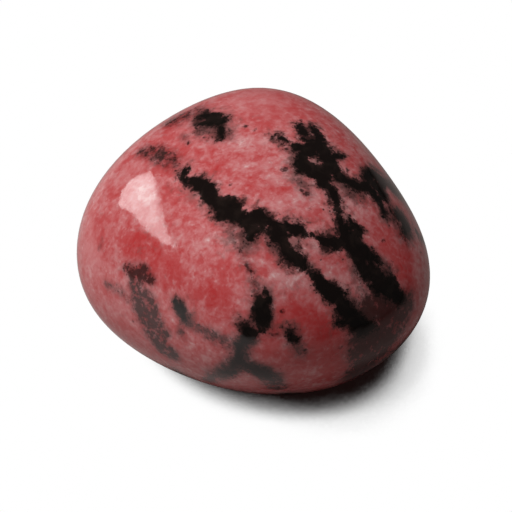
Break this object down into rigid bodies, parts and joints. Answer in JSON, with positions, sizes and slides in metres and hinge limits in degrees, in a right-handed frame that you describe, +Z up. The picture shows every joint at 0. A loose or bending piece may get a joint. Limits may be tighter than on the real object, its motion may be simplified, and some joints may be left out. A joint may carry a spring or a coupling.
{
  "type": "tumbled rhodonite stone",
  "caption": "Rounded, polished pebble of pink rhodonite crossed by black manganese oxide veins, standing on a small flat spot; a mineral specimen to hold or display.",
  "frame": {"origin": "middle of the pebble's footprint, on the surface that it stands on", "axes": "+Z up, +X along the pebble's longest side, -Y towards the viewer of the picture"},
  "size_m": [0.035, 0.0344, 0.0266],
  "materials": {
    "rhodonite": "polished"
  },
  "bodies": {
    "root": {"pebble": "rhodonite"}
  },
  "joints": []
}
